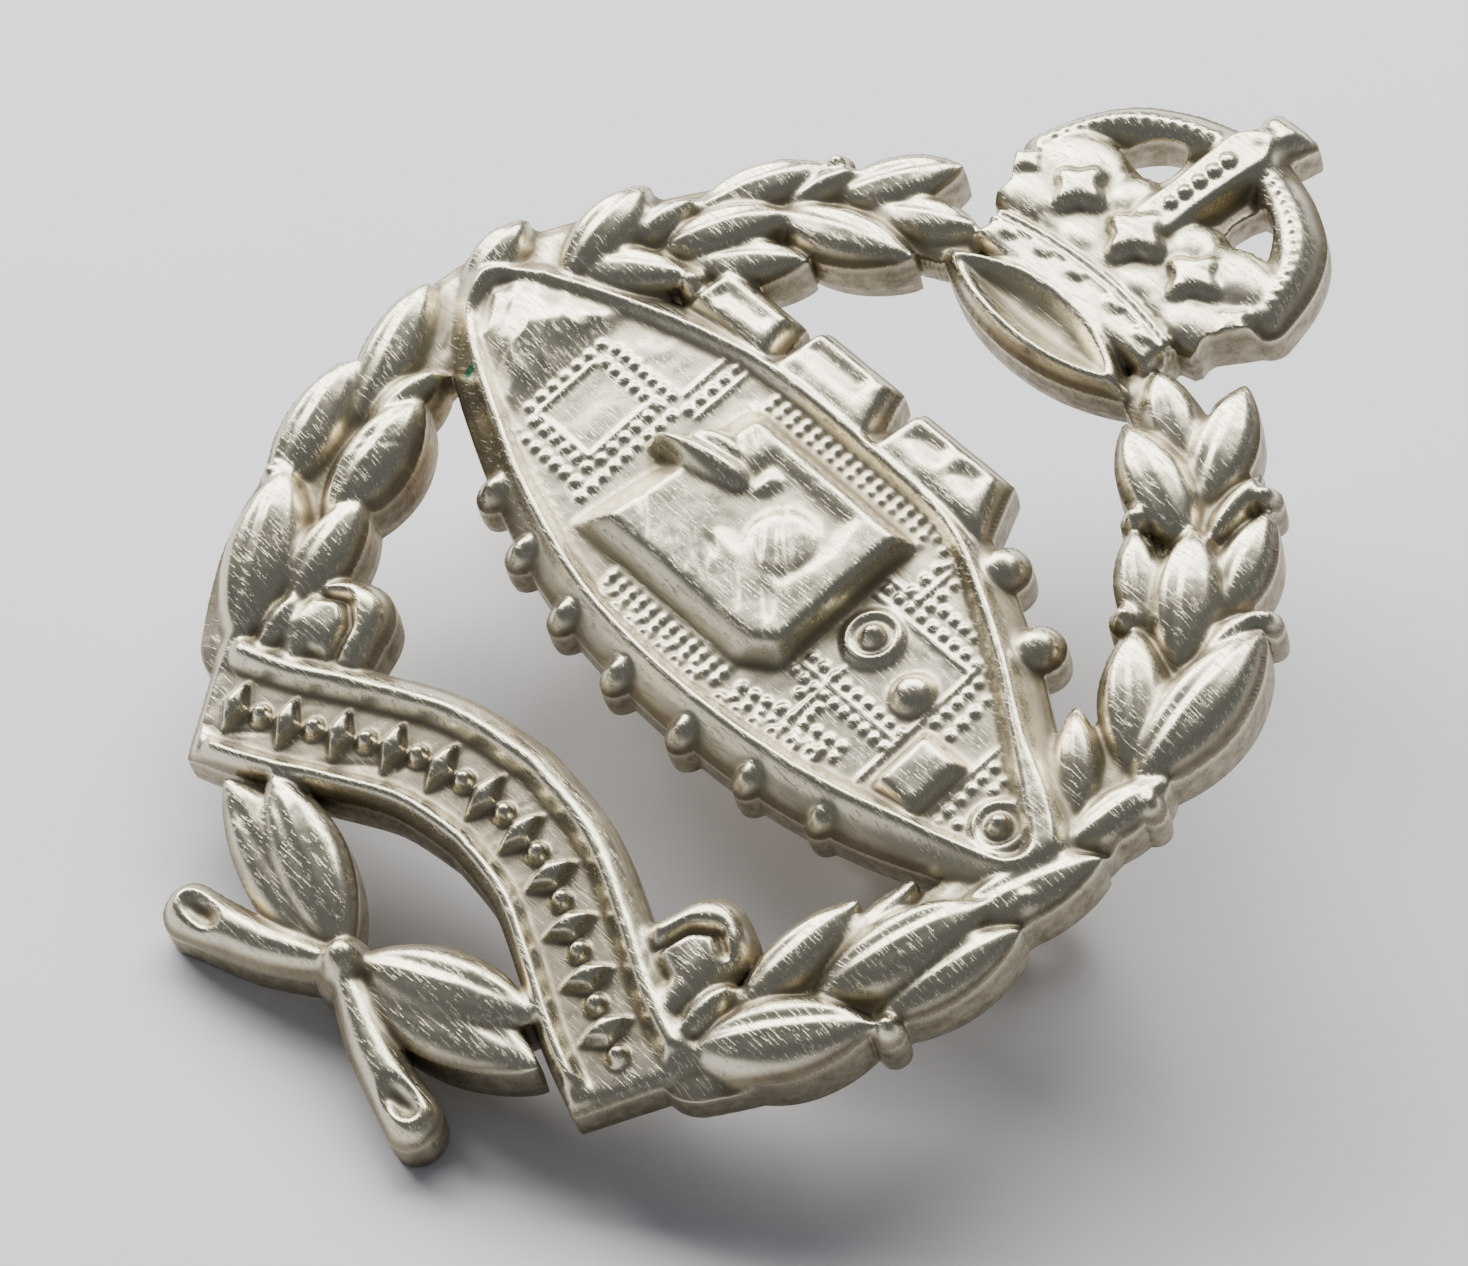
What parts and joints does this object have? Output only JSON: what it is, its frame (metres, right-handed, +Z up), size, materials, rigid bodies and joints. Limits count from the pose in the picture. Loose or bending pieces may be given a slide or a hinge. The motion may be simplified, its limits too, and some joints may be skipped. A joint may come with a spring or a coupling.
{
  "type": "cap badge",
  "caption": "Die-struck metal cap badge: an armoured vehicle hull across a leaf wreath, a crown above, a plain scroll and knot below, wire loops and a split pin behind.",
  "frame": {"origin": "centre of the bounding box's foot, on the surface that the badge lies on", "axes": "+Y runs from the knot towards the crown, +X to the wearer's left as the face is looked at (the viewer's right), +Z up from the table; the face leans 15.2 degrees about X, crown end up"},
  "size_m": [0.0312, 0.0414, 0.0131],
  "materials": {
    "nickel_silver": "satin struck nickel silver, warm brown tarnish in the recesses and on the cut edge",
    "copper_wire": "dull drawn copper-alloy wire",
    "brass": "satin brass wire"
  },
  "bodies": {
    "badge": {"struck_face": "nickel_silver", "lug_left": "copper_wire", "lug_right": "copper_wire"},
    "pin": {"split_pin": "brass"}
  },
  "joints": [
    {"name": "pin_slide", "type": "slide", "parent": "badge", "child": "pin", "axis": [1, 0, 0], "range_m": [0, 0.0195]}
  ]
}
